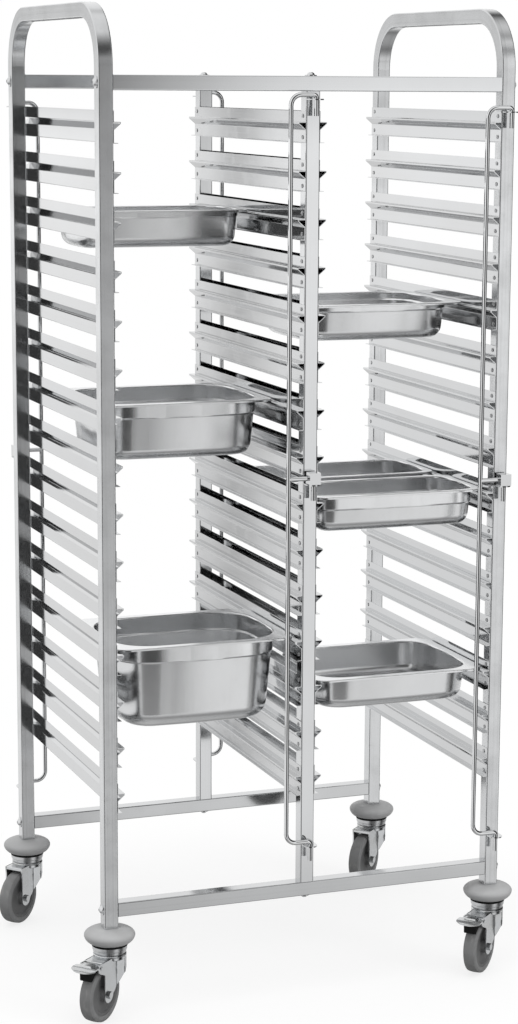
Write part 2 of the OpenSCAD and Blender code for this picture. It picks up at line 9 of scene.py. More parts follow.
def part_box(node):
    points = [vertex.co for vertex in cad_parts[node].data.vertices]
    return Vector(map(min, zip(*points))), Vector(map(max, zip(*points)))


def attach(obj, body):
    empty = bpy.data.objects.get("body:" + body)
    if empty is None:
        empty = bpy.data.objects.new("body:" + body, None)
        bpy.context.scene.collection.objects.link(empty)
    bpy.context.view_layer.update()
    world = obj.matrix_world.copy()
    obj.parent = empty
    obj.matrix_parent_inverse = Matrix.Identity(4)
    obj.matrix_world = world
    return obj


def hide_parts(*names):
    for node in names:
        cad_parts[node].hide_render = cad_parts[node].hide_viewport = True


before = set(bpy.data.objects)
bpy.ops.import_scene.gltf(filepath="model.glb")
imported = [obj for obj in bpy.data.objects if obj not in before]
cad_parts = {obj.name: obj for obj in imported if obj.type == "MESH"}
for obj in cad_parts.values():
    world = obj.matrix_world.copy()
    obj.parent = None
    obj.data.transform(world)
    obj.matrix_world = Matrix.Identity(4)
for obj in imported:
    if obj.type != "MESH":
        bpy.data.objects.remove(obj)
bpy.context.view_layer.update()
mm = 0.001


# Camera. Its place is in metres, its angles in degrees, and focal length and axis in pixels of its frame.

camera = {
    "frame": (518, 1024),
    "place": (-1.530864, -4.194035, 1.583748),
    "yaw": 20.955,
    "pitch": -10.934,
    "roll": 0.401,
    "focal": 2498.55,
    "axis": (290.963, 562.874),
    "film": 36.0,
    "far": 200.0,
}


def makeCamera(c):
    # Forward is +Y turned by yaw towards +X and tipped by pitch; roll turns right and up about it
    yaw, pitch, roll = (math.radians(c[key]) for key in ("yaw", "pitch", "roll"))
    forward = Vector((math.sin(yaw) * math.cos(pitch), math.cos(yaw) * math.cos(pitch), math.sin(pitch)))
    level = Vector((math.cos(yaw), -math.sin(yaw), 0))
    upright = level.cross(forward)
    right = level * math.cos(roll) + upright * math.sin(roll)
    up = upright * math.cos(roll) - level * math.sin(roll)
    width, height = c["frame"]
    data = bpy.data.cameras.new("photoCamera")
    data.sensor_fit = "VERTICAL"
    data.sensor_height = c["film"]
    data.lens = c["focal"] * c["film"] / height
    data.shift_x = (width / 2 - c["axis"][0]) / height
    data.shift_y = (c["axis"][1] - height / 2) / height
    data.clip_end = c["far"]
    item = bpy.data.objects.new("photoCamera", data)
    item.matrix_world = Matrix.Translation(c["place"]) @ Matrix((right, up, -forward)).transposed().to_4x4()
    bpy.context.scene.collection.objects.link(item)
    bpy.context.scene.camera = item


makeCamera(camera)
print("camera placed")


# Shader maths

class Wire:
    # One socket of a shader tree; arithmetic on it adds the Math node of that name
    def __init__(self, tree, socket=None):
        self.tree = tree
        self.socket = socket

    def make(self, kind, settings=None, inputs=None, output=0):
        # Any node: its settings first, a ramp's grey stops among them, then the values or links of its sockets
        node = self.tree.nodes.new(kind)
        for key, value in (settings or {}).items():
            if key == "stops":
                for stop, (place, level) in zip(rampStops(node.color_ramp, len(value)), value):
                    stop.position = place
                    stop.color = (level, level, level, 1)
            else:
                setattr(node, key, value)
        for key, value in (inputs or {}).items():
            socket = socketOf(node.inputs, key)
            if isinstance(value, Wire):
                self.tree.links.new(value.socket, socket)
            else:
                socket.default_value = value
        return Wire(self.tree, socketOf(node.outputs, output) if node.outputs else None)

    def math(self, operation, *others):
        return self.make("ShaderNodeMath", {"operation": operation}, dict(enumerate((self, *others))))

    def __add__(self, other):
        return self.math("ADD", other)

    def __sub__(self, other):
        return self.math("SUBTRACT", other)

    def __mul__(self, other):
        return self.math("MULTIPLY", other)

    def __truediv__(self, other):
        return self.math("DIVIDE", other)

    def __rsub__(self, other):
        return self.make("ShaderNodeMath", {"operation": "SUBTRACT"}, {0: other, 1: self})

    __radd__ = __add__
    __rmul__ = __mul__

    def size(self):
        return self.math("ABSOLUTE")

    def least(self, other):
        return self.math("MINIMUM", other)

    def most(self, other):
        return self.math("MAXIMUM", other)

    def step(self, low, high, start=0.0, end=1.0):
        # Smooth step from start at low to end at high
        names = {"Value": self, "From Min": low, "From Max": high, "To Min": start, "To Max": end}
        return self.make("ShaderNodeMapRange", {"interpolation_type": "SMOOTHSTEP"}, names)

    def fall(self, low, high):
        # Smooth step from 1 at low to 0 at high
        return self.step(low, high, 1.0, 0.0)

    def parts(self):
        return [self.make("ShaderNodeSeparateXYZ", {}, {0: self}, axis) for axis in range(3)]

    def noise(self, scale, detail=2.0, stretch=(1, 1, 1)):
        placed = self.make("ShaderNodeMapping", {}, {"Vector": self, "Scale": stretch})
        return self.make("ShaderNodeTexNoise", {}, {"Vector": placed, "Scale": scale, "Detail": detail})

    def blend(self, first, second):
        # This value mixes two colours
        names = {"Factor_Float": self, "A_Color": first, "B_Color": second}
        return self.make("ShaderNodeMix", {"data_type": "RGBA"}, names, "Result_Color")

    def bump(self):
        # This value is a height in metres
        return self.make("ShaderNodeBump", {}, {"Height": self, "Strength": 1.0, "Distance": 1.0})


def rampStops(ramp, count):
    while len(ramp.elements) < count:
        ramp.elements.new(1)
    return ramp.elements


def socketOf(sockets, key):
    if isinstance(key, int):
        return sockets[key]
    return next(s for s in sockets if key in (s.identifier, s.name))


def grey(level, tint=0.0):
    # A grey with a little blue in it, as colour
    return (level * (1 - tint), level, level * (1 + tint), 1)


def newMaterial(name):
    item = bpy.data.materials.new(name)
    item.use_nodes = True
    item.node_tree.nodes.clear()
    return item, Wire(item.node_tree)


def finishMaterial(item, start, sockets):
    shader = start.make("ShaderNodeBsdfPrincipled", {}, sockets)
    start.make("ShaderNodeOutputMaterial", {}, {"Surface": shader})
    return item


# Finishes. Each reads Object coordinates, which are metres in the frame's own axes.

# The streaks' coordinates are squeezed along the brushing, which draws the streaks out that way
brushing = {
    "x": (0.004, 1, 1),
    "y": (1, 0.004, 1),
    "z": (1, 1, 0.004),
    "drawn": (1, 1, 0.02),
}
endFrame = {
    "tube": 0.025,
    "bendRadius": 0.090,
}
legLow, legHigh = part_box("left_end_frame")
endFrame["bendCentreY"] = legHigh.y - endFrame["tube"] / 2 - endFrame["bendRadius"]
endFrame["bendCentreZ"] = legHigh.z - endFrame["tube"] / 2 - endFrame["bendRadius"]

steelLook = {
    "colour": grey(0.71, 0.012),
    "worn": grey(0.66, 0.008),
    "roughness": 0.075,
    "roughnessSpread": 0.05,
    "roughnessRange": (0.03, 0.9),
    "grain": 2400.0,
    "grainDepth": 0.0000006,
    "coarser": 9,
    "coarseEdge": (0.45, 0.80),
    "coarseWear": 0.3,
    "wave": 14.0,
    "waveDetail": 1.0,
    "waveDepth": 0.00002,
    "cloud": 7.0,
    "cloudDetail": 3.0,
    "cloudEdge": (0.35, 0.75),
    "cloudWear": 0.5,
    "smearFiner": 6,
    "smearEdge": (0.52, 0.72),
    "smearGloss": 0.3,
}


def steelFinish(name, look, transverse=None, stretch=(1, 1, 1)):
    # Brushed steel: fine and coarse streaks across one direction, soft clouds and smears in gloss and colour, and a
    # slight waviness
    item, start = newMaterial(name)
    place = start.make("ShaderNodeTexCoord", {}, {}, "Object")
    across = transverse(place) if transverse else place
    streak = across.noise(look["grain"], stretch=stretch)
    coarse = across.noise(look["grain"] / look["coarser"], stretch=stretch)
    cloud = place.noise(look["cloud"], look["cloudDetail"])
    smear = place.noise(look["cloud"] * look["smearFiner"], look["cloudDetail"]).step(*look["smearEdge"])
    spread = look["roughnessSpread"]
    gloss = look["roughness"] + (streak - 0.5) * spread
    gloss = gloss + (cloud - 0.5) * spread + smear * (spread * look["smearGloss"])
    wear = cloud.step(*look["cloudEdge"]) * look["cloudWear"] + coarse.step(*look["coarseEdge"]) * look["coarseWear"]
    wave = place.noise(look["wave"], look["waveDetail"])
    height = (streak + coarse) * look["grainDepth"] + wave * look["waveDepth"]
    least, most = look["roughnessRange"]
    return finishMaterial(item, start, {
        "Base Color": wear.blend(look["colour"], look["worn"]),
        "Metallic": 1.0,
        "Roughness": gloss.most(least).least(most),
        "Normal": height.bump(),
    })


def bentTube(place):
    # Coordinates across a bent tube: x, and the distance from the line round which the tube is bent
    bend = endFrame["bendCentreY"], endFrame["bendCentreZ"]
    x, y, z = place.parts()
    out = (y.size() - bend[0]).most(0.0)
    up = (z - bend[1]).most(0.0)
    radial = (out * out + up * up).math("SQRT")
    along = (z - y.size()) * brushing["z"][2]
    return place.make("ShaderNodeCombineXYZ", {}, {0: x, 1: radial, 2: along})


frameLook = dict(steelLook, roughness=0.17, roughnessSpread=0.10, worn=grey(0.50, 0.010), cloud=14.0)
# Painted light: the top rails are painted lighter than the uprights' same steel, for how light falls on them
railPaintedLightLook = dict(steelLook, colour=grey(0.82, 0.012), worn=grey(0.76, 0.010))
# Painted shade: the bottom rails are painted darker than the uprights' same steel, for how light falls on them
lowRailPaintedShadeLook = dict(steelLook, colour=grey(0.63, 0.012), worn=grey(0.56, 0.008))
runnerLook = dict(steelLook, roughness=0.07, grain=1800.0, colour=grey(0.66, 0.012), worn=grey(0.61), cloud=5.0)
# Painted shade: the faces under the shelf and in the fold are painted near black for the shade there
paintedShadeLook = dict(runnerLook, colour=grey(0.18, 0.010), worn=grey(0.13), roughness=0.22)
# Painted shade: the shelf's top is painted darker than the rest of the runner
shelfPaintedShadeLook = dict(runnerLook, colour=grey(0.36, 0.012), worn=grey(0.27), roughness=0.10)
cutLook = dict(runnerLook, colour=grey(0.76, 0.010), roughness=0.5)
panLook = dict(
    steelLook, roughness=0.23, roughnessSpread=0.06, grain=1100.0, colour=grey(0.86, 0.010), worn=grey(0.81, 0.006),
    cloud=11.0, wave=9.0, waveDepth=0.00008,
)
# Partly painted light: the pans' insides are glossier, and their colour is painted lighter than the outsides' for
# the light inside
panInnerGlossAndLightLook = dict(panLook, roughness=0.11, colour=grey(0.90, 0.010), worn=grey(0.85, 0.006))
rodLook = dict(
    steelLook, roughness=0.04, roughnessSpread=0.03, grain=1200.0, colour=grey(0.78, 0.010), worn=grey(0.72),
)
boltLook = dict(steelLook, roughness=0.10, grain=900.0, colour=grey(0.72, 0.010), cloud=60.0)
lugLook = dict(steelLook, roughness=0.10, grain=1200.0, colour=grey(0.68, 0.010))
zincLook = dict(
    steelLook, roughness=0.20, roughnessSpread=0.06, grain=700.0, grainDepth=0.0000010, colour=grey(0.66, 0.020),
    worn=(0.58, 0.58, 0.56, 1), cloud=22.0, wave=90.0, waveDepth=0.00001,
)
raceLook = dict(zincLook, roughness=0.30, colour=grey(0.62, 0.015), worn=grey(0.52, 0.010))

softLook = {
    "roughness": 0.55,
    "roughnessSpread": 0.25,
    "specular": 0.4,
    "speckle": 2500.0,
    "speckleShare": 0.4,
    "speckleDepth": 0.000004,
    "cloud": 35.0,
    "cloudDetail": 3.0,
    "shift": 0.10,
    "shiftEdge": (0.35, 0.65),
    "tints": (0.004, 0.008),
    "dust": 0.0,
    "dustRise": 0.05,
    "dustScale": 160.0,
    "dustDetail": 4.0,
    "dustEdge": (0.45, 0.70),
    "scuff": 0.0,
    "scuffScale": 95.0,
    "scuffDetail": 5.0,
    "scuffStretch": (1, 1, 0.35),
    "scuffEdge": (0.54, 0.72),
    "pale": (0.36, 0.36, 0.35, 1),
}


def softFinish(name, level, look=softLook):
    # Moulded rubber or plastic: a fine speckle in the surface, uneven gloss, dust towards the floor, pale scuffs
    item, start = newMaterial(name)
    place = start.make("ShaderNodeTexCoord", {}, {}, "Object")
    speckle = place.noise(look["speckle"])
    cloud = place.noise(look["cloud"], look["cloudDetail"])
    uneven = cloud * (1 - look["speckleShare"]) + speckle * look["speckleShare"]
    darker, paler = (grey(level * (1 + shift), tint)
                     for shift, tint in zip((-look["shift"], look["shift"]), look["tints"]))
    shade = uneven.step(*look["shiftEdge"]).blend(darker, paler)
    low = place.parts()[2].fall(0.0, look["dustRise"])
    dust = low * place.noise(look["dustScale"], look["dustDetail"]).step(*look["dustEdge"]) * look["dust"]
    scuff = place.noise(look["scuffScale"], look["scuffDetail"], look["scuffStretch"])
    scuff = scuff.step(*look["scuffEdge"]) * look["scuff"]
    return finishMaterial(item, start, {
        "Base Color": dust.most(scuff).blend(shade, look["pale"]),
        "Roughness": look["roughness"] + (cloud - 0.5) * look["roughnessSpread"],
        "Specular IOR Level": look["specular"],
        "Normal": (speckle * look["speckleDepth"]).bump(),
    })


bumperLook = dict(softLook, roughness=0.45, shift=0.04)
tyreLook = dict(softLook, specular=0.3, dust=0.35, scuff=0.45, shift=0.12, roughness=0.6)
hubLook = dict(softLook, specular=0.3, dust=0.1)
blackLook = dict(softLook, roughness=0.7, specular=0.1)

materials = {
    "endFrame": steelFinish("bentTubeSteel", frameLook, transverse=bentTube),
    "upright": steelFinish("uprightSteel", steelLook, stretch=brushing["z"]),
    # The top rails' finish is painted lighter as painted light, the bottom rails' painted darker as painted shade
    "rail": steelFinish("railPaintedLightSteel", railPaintedLightLook, stretch=brushing["x"]),
    "lowRail": steelFinish("lowRailPaintedShadeSteel", lowRailPaintedShadeLook, stretch=brushing["x"]),
    "runner": steelFinish("runnerSteel", runnerLook, stretch=brushing["y"]),
    # Painted shade under the shelf and in the fold
    "sheltered": steelFinish("paintedShadeSteel", paintedShadeLook, stretch=brushing["y"]),
    # Painted shade on the shelf's top
    "shelf": steelFinish("shelfPaintedShadeSteel", shelfPaintedShadeLook, stretch=brushing["y"]),
    "cut": steelFinish("cutEdgeSteel", cutLook),
    "pan": steelFinish("panSteel", panLook, stretch=brushing["drawn"]),
    # Glossier, and partly painted light on the pans' insides
    "panInside": steelFinish("panInnerGlossAndLightSteel", panInnerGlossAndLightLook, stretch=brushing["drawn"]),
    "rod": steelFinish("rodSteel", rodLook, stretch=brushing["drawn"]),
    "bolt": steelFinish("boltSteel", boltLook),
    "lug": steelFinish("lugSteel", lugLook),
    "zinc": steelFinish("zincPlate", zincLook),
    "race": steelFinish("raceSteel", raceLook),
    "bumper": softFinish("bumperPlastic", 0.46, bumperLook),
    "tyre": softFinish("tyreRubber", 0.24, tyreLook),
    "hub": softFinish("hubPlastic", 0.16, hubLook),
    "plug": softFinish("plugPlastic", 0.06),
    "black": softFinish("blackRubber", 0.012, blackLook),
}
print("finishes:", len(materials))


# Surfaces. A surface is a list of points and a list of faces; a piece joins one or more of them.

def roundCorners(corners, radii, steps=4, closed=True):
    # Each corner becomes an arc that touches both its edges: its centre lies on the corner's bisector at
    # radius / sin(half the angle), and the arc is that centre plus the two end spokes turned into each other.
    # A sharp corner keeps a trace of a radius, so that every corner has as many points.
    p = np.asarray(corners, float)
    r = np.maximum(np.broadcast_to(np.asarray(radii, float), len(p)), 1e-7)
    unit = lambda v: v / np.maximum(np.linalg.norm(v, axis=1, keepdims=True), 1e-12)
    before = unit(np.roll(p, 1, axis=0) - p)
    after = unit(np.roll(p, -1, axis=0) - p)
    half = np.arccos(np.clip((before * after).sum(1), -1, 1)) / 2
    centre = p + unit(before + after) * (r / np.sin(half))[:, None]
    first = p + before * (r / np.tan(half))[:, None] - centre
    last = p + after * (r / np.tan(half))[:, None] - centre
    turn = (np.pi - 2 * half)[:, None]
    t = np.linspace(0, 1, steps + 1)
    weights = np.stack([np.sin((1 - t) * turn), np.sin(t * turn)]) / np.sin(turn)
    arcs = centre[:, None] + weights[0][..., None] * first[:, None] + weights[1][..., None] * last[:, None]
    if closed:
        return arcs.reshape(-1, 2)
    return np.concatenate([p[:1], arcs[1:-1].reshape(-1, 2), p[-1:]])


def roundRows(rows, steps=4, closed=True):
    # Each row starts with a corner's two coordinates and its radius
    rows = np.asarray(rows, float)
    return roundCorners(rows[:, :2], rows[:, 2], steps, closed)


def grid(points, wrapRows=True, caps=()):
    # Quads join the neighbours in a grid of points (rows, columns, 3) whose rows are rings, and caps close the
    # named end rows
    rows, columns = points.shape[:2]
    i, j = np.meshgrid(np.arange(rows if wrapRows else rows - 1), np.arange(columns), indexing="ij")
    nextI, nextJ = (i + 1) % rows, (j + 1) % columns
    quads = np.stack([i * columns + j, nextI * columns + j, nextI * columns + nextJ, i * columns + nextJ], -1)
    faces = quads.reshape(-1, 4).tolist()
    for row in caps:
        faces.append((np.arange(columns) + (row % rows) * columns).tolist())
    return points.reshape(-1, 3), faces


def turned(section, centre, axis, count=96):
    # Centre plus axis times the section's height plus its radius times the turning spoke
    axis = np.array(axis, float)
    side = np.cross(axis, (0.0, 0.0, 1.0) if abs(axis[2]) < 0.9 else (1.0, 0.0, 0.0))
    side /= np.linalg.norm(side)
    other = np.cross(axis, side)
    angle = np.linspace(0, 2 * np.pi, count, endpoint=False)
    spoke = np.cos(angle)[:, None] * side + np.sin(angle)[:, None] * other
    return grid(np.array(centre) + section[None, :, 1:] * axis + section[None, :, :1] * spoke[:, None])


def turnedBoth(rows, centre, axis, count=96, steps=4):
    # The rows give radius, distance from the middle and rounding on one side of the middle. The other side
    # mirrors it, and a last row at the middle itself comes once.
    rows = np.array(rows)
    back = rows[::-1] if rows[-1, 1] else rows[-2::-1]
    return turned(roundRows(np.concatenate([rows * (1, -1, 1), back]), steps), centre, axis, count)


def drawnOut(outline, low, high, bevel, order=(0, 1, 2)):
    # The outline is drawn from low to high, and its end rings are pulled in towards its middle by the bevel.
    # Order says which of the frame's axes the outline's two and the drawing direction become.
    middle = outline.mean(0)
    small = middle + (outline - middle) * (1 - bevel / np.linalg.norm(outline - middle, axis=1, keepdims=True))
    rings = ((small, low), (outline, low + bevel), (outline, high - bevel), (small, high))
    points = np.stack([np.column_stack([ring, np.full(len(ring), level)]) for ring, level in rings])
    placed = np.empty_like(points)
    placed[..., list(order)] = points
    return grid(placed, wrapRows=False, caps=(0, -1))


def sheet(outer, thickness):
    # The inner face is the outer one moved by the thickness against the cross product of its two directions
    along, across = np.gradient(outer, axis=0), np.gradient(outer, axis=1)
    normal = np.cross(along, across)
    normal /= np.linalg.norm(normal, axis=-1, keepdims=True)
    ring = np.concatenate([outer, (outer - normal * thickness)[:, ::-1]], axis=1)
    return grid(ring, wrapRows=False, caps=(0, -1))


smoothing = {
    "mergeWithin": 1e-6,
    "sharpAbove": 38,
}


def newPiece(name, *surfaces, marks=None):
    # The marks are the faces' material slots, in the order of the surfaces' faces
    points, faces, count = [], [], 0
    for own, ownFaces in surfaces:
        points.append(own)
        faces += [[corner + count for corner in face] for face in ownFaces]
        count += len(own)
    mesh = bpy.data.meshes.new(name)
    mesh.from_pydata(np.concatenate(points).tolist(), [], faces)
    if marks is not None:
        mesh.polygons.foreach_set("material_index", marks)
    body = bmesh.new()
    body.from_mesh(mesh)
    bmesh.ops.remove_doubles(body, verts=body.verts, dist=smoothing["mergeWithin"])
    bmesh.ops.recalc_face_normals(body, faces=body.faces)
    body.to_mesh(mesh)
    body.free()
    mesh.shade_smooth()
    mesh.set_sharp_from_angle(angle=math.radians(smoothing["sharpAbove"]))
    item = bpy.data.objects.new(name, mesh)
    bpy.context.scene.collection.objects.link(item)
    weighted = item.modifiers.new("flatFacesStayFlat", "WEIGHTED_NORMAL")
    weighted.keep_sharp = True
    return item


def dress(item, body, slot, finishes, *nodes):
    item.data.materials.clear()
    for finish in finishes.split():
        item.data.materials.append(materials[finish])
    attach(item, body)
    if nodes:
        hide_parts(*nodes)


# Runners: one folded section per tier, drawn out along the depth of the frame. The sizes of runners, pans and
# casters are in millimetres.

runner = {
    "tiers": 15,
    "sheet": 1.0,
    "shelf": 12.6,
    "shelfEdge": 3.0,
    "brace": 13.0,
    "above": 18.0,
    "below": 34.5,
    "lip": 8.0,
    "foldInside": 0.7,
    "foldOutside": 1.4,
    "shelfFold": 0.7,
    "nook": 0.3,
    "edge": 0.15,
    "foldSteps": 4,
}


def runnerSection(r):
    # Plate, shelf, upright edge, slanting brace, plate and lip, as one closed outline round the sheet's thickness.
    # The third column is the corner's radius. The last one marks the faces after it: 0 for an open face, 1 for one
    # under the shelf or in the fold's shelter, painted dark as painted shade there, 2 for the shelf's top, painted
    # darker as painted shade.
    t, shelf, edge, lipTop = r["sheet"], r["shelf"], r["shelfEdge"], r["sheet"] - r["below"]
    inside, outside, sharp = r["foldInside"], r["foldOutside"], r["edge"]
    bend, nook = r["shelfFold"], r["nook"]
    slope = (r["brace"] - edge) / (shelf - t)
    rise = t * math.sqrt(1 + slope * slope) - edge
    corners = np.array([
        (0, r["above"], sharp, 0), (t, r["above"], sharp, 0), (t, 0, inside, 2), (shelf, 0, bend, 0),
        (shelf, -edge, bend, 1), (t, -r["brace"], outside, 0), (t, lipTop, inside, 1), (r["lip"], lipTop, sharp, 0),
        (r["lip"], -r["below"], sharp, 0), (0, -r["below"], outside, 0), (0, rise - slope * shelf, inside, 1),
        (shelf - t, rise - slope * t, nook, 1), (shelf - t, -t, nook, 1), (0, -t, outside, 0),
    ])
    outline = roundRows(corners, r["foldSteps"]) * mm
    return outline, np.repeat(corners[:, 3], r["foldSteps"] + 1).astype(int)


def makeRunners(node, reach):
    # The shelves reach towards +X or -X; the ends of each runner are cut edges
    low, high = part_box(node)
    section, kinds = runnerSection(runner)
    faceX = low.x if reach > 0 else high.x
    pitch = (high.z - low.z - (runner["above"] + runner["below"]) * mm) / (runner["tiers"] - 1)
    points = np.zeros((2, len(section), 3))
    points[..., 0] = faceX + reach * section[:, 0]
    points[..., 1] = np.array([low.y, high.y])[:, None]
    points[..., 2] = low.z + runner["below"] * mm + section[:, 1]
    tiers = [grid(points + (0, 0, tier * pitch), wrapRows=False, caps=(0, -1)) for tier in range(runner["tiers"])]
    marks = np.tile(np.concatenate([kinds, (3, 3)]), runner["tiers"])
    item = newPiece(node + "_folded", *tiers, marks=marks)
    # Slot 1 is painted shade under the shelf and in the fold, slot 2 the shelf's top painted darker, slot 3 the cut
    # ends
    dress(item, "frame", "stainless_runner", "runner sheltered shelf cut", node)


for node, reach in (("left_end_runners", 1), ("left_centre_runners", -1),
                    ("right_centre_runners", 1), ("right_end_runners", -1)):
    makeRunners(node, reach)
print("runners made")


# Pans: the sheet's section, swept round rounded rectangles

halfPan = {
    "rimWidth": 16.0,
    "rimCorner": 28.0,
    "rimHeight": 4.0,
    "rimFold": 2.0,
    "rimInside": 3.0,
    "rimEdge": 1.5,
    "lipInside": 0.6,
    "lipEdge": 0.3,
    "bodyCorner": 54.0,
    "sheet": 1.0,
    "draft": 5.5,
    "floorRadius": 21.0,
    "floorRing": 12.0,
    "stepReach": 2.5,
    "stepRadii": (1.8, 1.8, 1.4, 2.2),
    "stepDrop": 0.4,
    "foldSteps": 8,
    "bow": 2.4,
    "bowFade": (2.0, 6.0),
    "cornerPower": 2.5,
    "cornerGrowth": 0.42,
    "leastCorner": 2.0,
    "cornerSteps": 16,
    "sideSteps": 8,
}
thirdPan = dict(halfPan, rimWidth=11.5, bodyCorner=34.0)
pans = {
    "top_left_pan": dict(thirdPan, height=65.0, step=12.0, stepReach=1.6),
    "middle_left_pan": dict(halfPan, height=100.0, step=25.0),
    "low_left_pan": dict(halfPan, height=150.0, step=30.0, bodyCorner=70.0, floorRadius=29.0),
    "top_right_pan": dict(halfPan, height=65.0, step=12.0),
    "middle_front_pan": dict(thirdPan, height=65.0, step=24.0),
    "middle_back_pan": dict(thirdPan, height=65.0, step=24.0),
    "low_right_pan": dict(halfPan, height=60.0, step=0.0),
}


def panSection(p):
    # From the floor's edge outside, up the wall, over the rim and down again inside, as inset from the rim's
    # outer edge and height below its top. The inner line is the outer one moved in by the sheet.
    t, rim, h = p["sheet"], p["rimWidth"], p["height"]
    lean = math.tan(math.radians(p["draft"]))
    reach, top = (p["stepReach"], p["step"]) if p["step"] else (0.0, p["rimHeight"])
    foot = rim + reach + (h - top - reach) * lean
    flat = foot + p["floorRadius"] + p["floorRing"]
    wall, inner, drop = [], [], p["stepDrop"]
    if reach:
        low, high, innerHigh, innerLow = p["stepRadii"]
        wall = [(rim + reach, -top - reach, low), (rim, -top, high)]
        inner = [(rim + t, -top - drop, innerHigh), (rim + reach + t, -top - reach - drop, innerLow)]
    outside = [(flat, -h, 0), (foot, -h, p["floorRadius"])] + wall + [(rim, -t, p["rimFold"])]
    lip = [(t, -t, p["lipInside"]), (t, -p["rimHeight"], p["lipEdge"]), (0, -p["rimHeight"], p["lipEdge"])]
    inside = [(0, 0, p["rimEdge"]), (rim + t, 0, p["rimInside"])] + inner
    floor = [(foot + t, t - h, p["floorRadius"] - t), (flat, t - h, 0)]
    return roundRows(outside + lip + inside + floor, p["foldSteps"], closed=False)


def makePan(node, p):
    # Each point of the section keeps its inset and height round a rounded rectangle. Its corners are quarters of
    # a superellipse, x = r * cos ^ (2 / power), whose radius passes from the rim's to the wall's and then shrinks
    # as fast as the inset grows. A fuller corner has a larger radius, so that its diagonal stays in place. The sides
    # are bowed outward below the rim by bow * (1 - t * t).
    low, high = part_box(node)
    section = panSection(p) * mm
    inset, height = section[:, 0], section[:, 1]
    rim, body = p["rimWidth"] * mm, p["bodyCorner"] * mm
    part = np.clip(inset / rim, 0, 1)
    radius = np.where(inset < rim, p["rimCorner"] * mm * (1 - part) + body * part, body - (inset - rim))
    power = 2 + (p["cornerPower"] - 2) * part
    radius = np.maximum(radius * (1 + p["cornerGrowth"] * (power - 2)), p["leastCorner"] * mm)
    centre = (np.array(high) + np.array(low))[:2] / 2
    halfSize = (np.array(high) - np.array(low))[:2] / 2
    signs = np.array([[1, 1], [-1, 1], [-1, -1], [1, -1]])
    quarter = np.linspace(0, np.pi / 2, p["cornerSteps"] + 1)
    angle = np.arange(4)[:, None] * np.pi / 2 + quarter
    spoke = np.stack([np.cos(angle), np.sin(angle)], -1)
    spoke = np.sign(spoke.round(9)) * np.abs(spoke) ** (2 / power)[:, None, None, None]
    middle = signs[:, None] * (halfSize - (inset + radius)[:, None])[:, None, None]
    corners = middle + radius[:, None, None, None] * spoke
    start, end = corners[:, :, -1:], np.roll(corners[:, :, :1], -1, axis=1)
    t = np.linspace(-1, 1, p["sideSteps"] + 2)[1:-1, None]
    outward = np.array([[0, 1], [-1, 0], [0, -1], [1, 0]])[:, None]
    fadeIn, fadeOut = p["bowFade"]
    deep = np.clip((inset - rim) / (fadeIn * mm), 0, 1) * np.clip((body - inset + rim) / (fadeOut * mm), 0, 1)
    bow = (p["bow"] * mm * deep)[:, None, None, None] * (1 - t * t) * outward
    sides = start * (1 - t) / 2 + end * (1 + t) / 2 + bow
    ring = np.concatenate([corners, sides], axis=2).reshape(len(section), -1, 2)
    level = np.broadcast_to((high.z + height)[:, None, None], ring.shape[:2] + (1,))
    points = np.concatenate([ring + centre, level], -1)
    inner = np.arange(len(section) - 1) >= np.argmax(height)
    marks = np.concatenate([np.repeat(inner, ring.shape[1]), (0, 1)]).astype(int)
    # The inside faces take the glossier finish whose colour is painted lighter, partly painted light
    item = newPiece(node + "_drawn", grid(points, wrapRows=False, caps=(0, -1)), marks=marks)
    dress(item, node, "stainless_pan", "pan panInside", node)


for node, p in pans.items():
    makePan(node, p)
print("pans made:", len(pans))


# Casters. Their pieces are drawn in millimetres with the origin on the floor under the swivel axis,
# x the way the wheel trails and y the side that faces the front right, and then turned into place.

caster = {
    "turn": 221.5,
    "trail": 33.5,
    "corners": {"front_left": (-1, -1), "front_right": (1, -1), "rear_left": (-1, 1), "rear_right": (1, 1)},
    "braked": ("front_left", "front_right"),
}
caster["legY"] = (legHigh.y - legLow.y - endFrame["tube"]) / 2
caster["legX"] = -(legLow.x + legHigh.x) / 2


def atCaster(corner, surface):
    # A turn about the swivel axis, then a move to the leg's middle
    points, faces = surface
    turn = math.radians(caster["turn"])
    side, depth = caster["corners"][corner]
    x, y, z = np.asarray(points).T * mm
    placed = np.stack([
        x * math.cos(turn) - y * math.sin(turn) + side * caster["legX"],
        x * math.sin(turn) + y * math.cos(turn) + depth * caster["legY"], z,
    ], -1)
    return placed, faces


wheel = {
    "radius": 50.0,
    "tyre": ((38.1, 10.8, 0.5), (39.5, 12.0, 0.8), (44.0, 11.8, 1.0), (48.4, 9.6, 3.0), (49.99, 0.0, 60.0)),
    "hub": ((4.1, 16.2, 0.3), (12.0, 16.2, 1.5), (12.0, 6.48, 2.5), (31.0, 6.48, 2.5), (33.0, 10.5, 0.8),
            (38.0, 10.5, 0.5)),
}


def makeWheel(corner, w):
    # Tyre and hub are rows of radius, distance from the wheel's middle and rounding, turned about the axle
    centre, axis = (caster["trail"], 0, w["radius"]), (0, 1, 0)
    tread = turnedBoth(w["tyre"], centre, axis, count=128, steps=6)
    item = newPiece(corner + "_tread", atCaster(corner, tread))
    dress(item, corner + "_wheel", "wheel_rubber", "tyre", corner + "_tyre")
    hub = turnedBoth(w["hub"], centre, axis)
    item = newPiece(corner + "_wheel_centre", atCaster(corner, hub))
    dress(item, corner + "_wheel", "wheel_hub", "hub", corner + "_hub")


